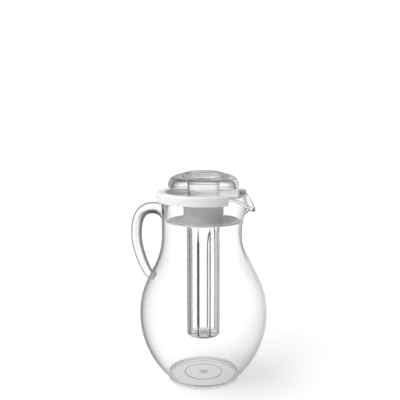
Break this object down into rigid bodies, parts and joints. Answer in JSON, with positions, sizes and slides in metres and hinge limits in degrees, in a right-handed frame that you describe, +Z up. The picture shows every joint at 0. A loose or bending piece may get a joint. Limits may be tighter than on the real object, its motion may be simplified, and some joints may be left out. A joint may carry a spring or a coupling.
{
  "type": "pitcher",
  "caption": "Clear round-bellied pitcher with a pinched spout and loop handle, a white straining lid and a screw-in fluted ice tube closed by a clear knob.",
  "frame": {"origin": "centre of the foot ring, on the table", "axes": "+Z up along the jug's axis, +X towards the spout, with the handle on -X"},
  "size_m": [0.1861, 0.166, 0.2734],
  "materials": {
    "clear_plastic": "clear, polished",
    "white_plastic": "satin",
    "silicone": "translucent, satin"
  },
  "bodies": {
    "jug": {"jug_body": "clear_plastic", "jug_handle": "clear_plastic"},
    "lid": {"lid": "white_plastic", "strainer": "white_plastic"},
    "knob_carrier": {"knob_seal": "silicone"},
    "knob": {"knob": "clear_plastic"},
    "tube_carrier": {"ice_tube_seal": "silicone"},
    "tube": {"ice_tube": "clear_plastic"}
  },
  "joints": [
    {"name": "lid_lift", "type": "slide", "parent": "jug", "child": "lid", "axis": [0, 0, 1], "range_m": [0, 0.163]},
    {"name": "knob_rise", "type": "slide", "parent": "lid", "child": "knob_carrier", "axis": [0, 0, 1], "range_m": [0, 0.0531]},
    {"name": "knob_turn", "type": "hinge", "parent": "knob_carrier", "child": "knob", "pos_m": [0, 0, 0.25], "axis": [0, 0, 1], "range_deg": [0, 3600]},
    {"name": "tube_drop", "type": "slide", "parent": "lid", "child": "tube_carrier", "axis": [0, 0, -1], "range_m": [0, 0.0372]},
    {"name": "tube_turn", "type": "hinge", "parent": "tube_carrier", "child": "tube", "pos_m": [0, 0, 0.2], "axis": [0, 0, -1], "range_deg": [0, 2520]}
  ],
  "couplings": [
    {"joint": "knob_rise", "follows": "knob_turn", "m_per_rad": 0.00084352},
    {"joint": "tube_drop", "follows": "tube_turn", "m_per_rad": 0.00084352}
  ]
}
